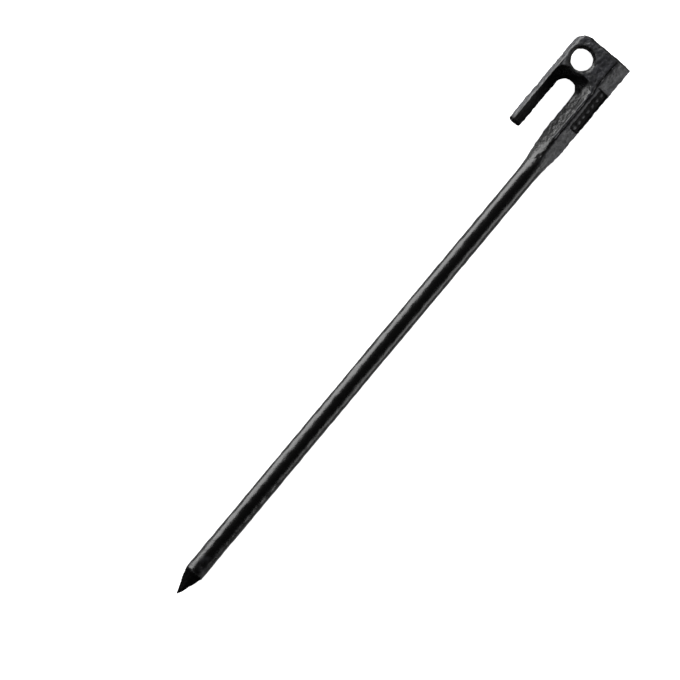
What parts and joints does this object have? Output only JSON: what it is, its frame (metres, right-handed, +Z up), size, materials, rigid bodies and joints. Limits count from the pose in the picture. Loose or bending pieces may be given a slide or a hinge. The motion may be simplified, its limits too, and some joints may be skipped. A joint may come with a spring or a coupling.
{
  "type": "tent stake",
  "caption": "Solid steel ground stake with a round pointed shaft and a forged head that has a cord hook, an eye and a flat striking face.",
  "frame": {"origin": "middle of the stake's box, on the surface that the head lies on", "axes": "+X along the shaft from the tip to the striking face, +Y towards the side that the hook is on, +Z up through the flat of the head as the stake lies on its side"},
  "size_m": [0.3, 0.0274, 0.013],
  "materials": {
    "head_coating": "satin black coating over forged steel, slightly worn on the edges",
    "shaft_coating": "satin black coating over round steel bar",
    "point_coating": "black coating over a forged point, a little rougher than the shaft"
  },
  "bodies": {
    "root": {"head": "head_coating", "shaft": "shaft_coating", "point": "point_coating"}
  },
  "joints": []
}
